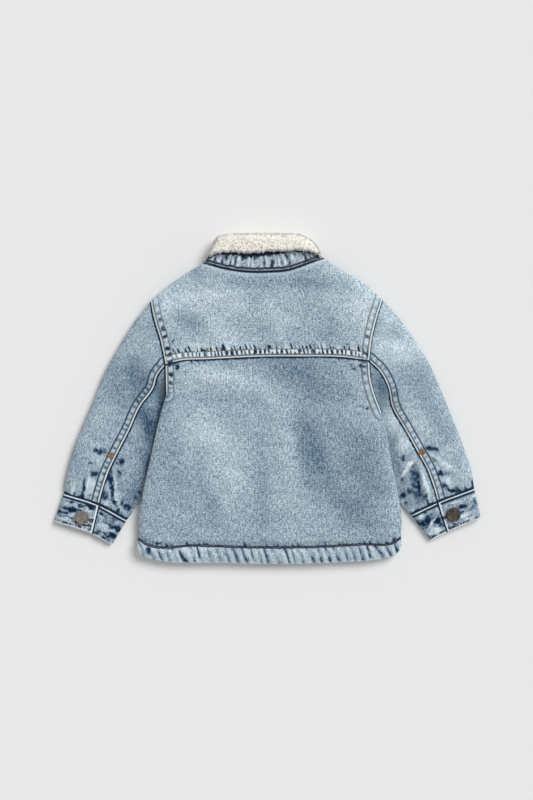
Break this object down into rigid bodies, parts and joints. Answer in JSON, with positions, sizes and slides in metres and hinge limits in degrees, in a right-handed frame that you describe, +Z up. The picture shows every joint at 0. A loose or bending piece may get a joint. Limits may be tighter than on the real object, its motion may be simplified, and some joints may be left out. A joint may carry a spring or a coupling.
{
  "type": "sherpa lined jacket",
  "caption": "Toddler's light-wash denim jacket with a cream sherpa collar, laid flat on its front with its back up.",
  "frame": {"origin": "centre of the jacket's bounding box, on the surface that it lies on", "axes": "+Z up out of the jacket's back, +Y from the hem to the collar, +X to the wearer's right"},
  "size_m": [0.4917, 0.38, 0.0204],
  "materials": {
    "denim": "matte light-wash twill",
    "denim_dark": "matte twill with indigo left in its creases",
    "sherpa": "curled pile",
    "button_metal": "aged gunmetal"
  },
  "bodies": {
    "root": {"back_yoke": "denim", "back_panel": "denim", "back_hem": "denim", "front_left": "denim", "front_right": "denim", "sleeve_outer_left": "denim", "sleeve_outer_right": "denim", "sleeve_under_left": "denim", "sleeve_under_right": "denim", "cuff_left": "denim_dark", "cuff_right": "denim_dark", "cuff_button_left": "button_metal", "cuff_button_right": "button_metal", "front_button_1": "button_metal", "front_button_2": "button_metal", "front_button_3": "button_metal", "front_button_4": "button_metal", "front_button_5": "button_metal", "collar_sherpa": "sherpa", "collar_under": "denim", "collar_wing_left": "sherpa", "collar_wing_right": "sherpa"}
  },
  "joints": []
}
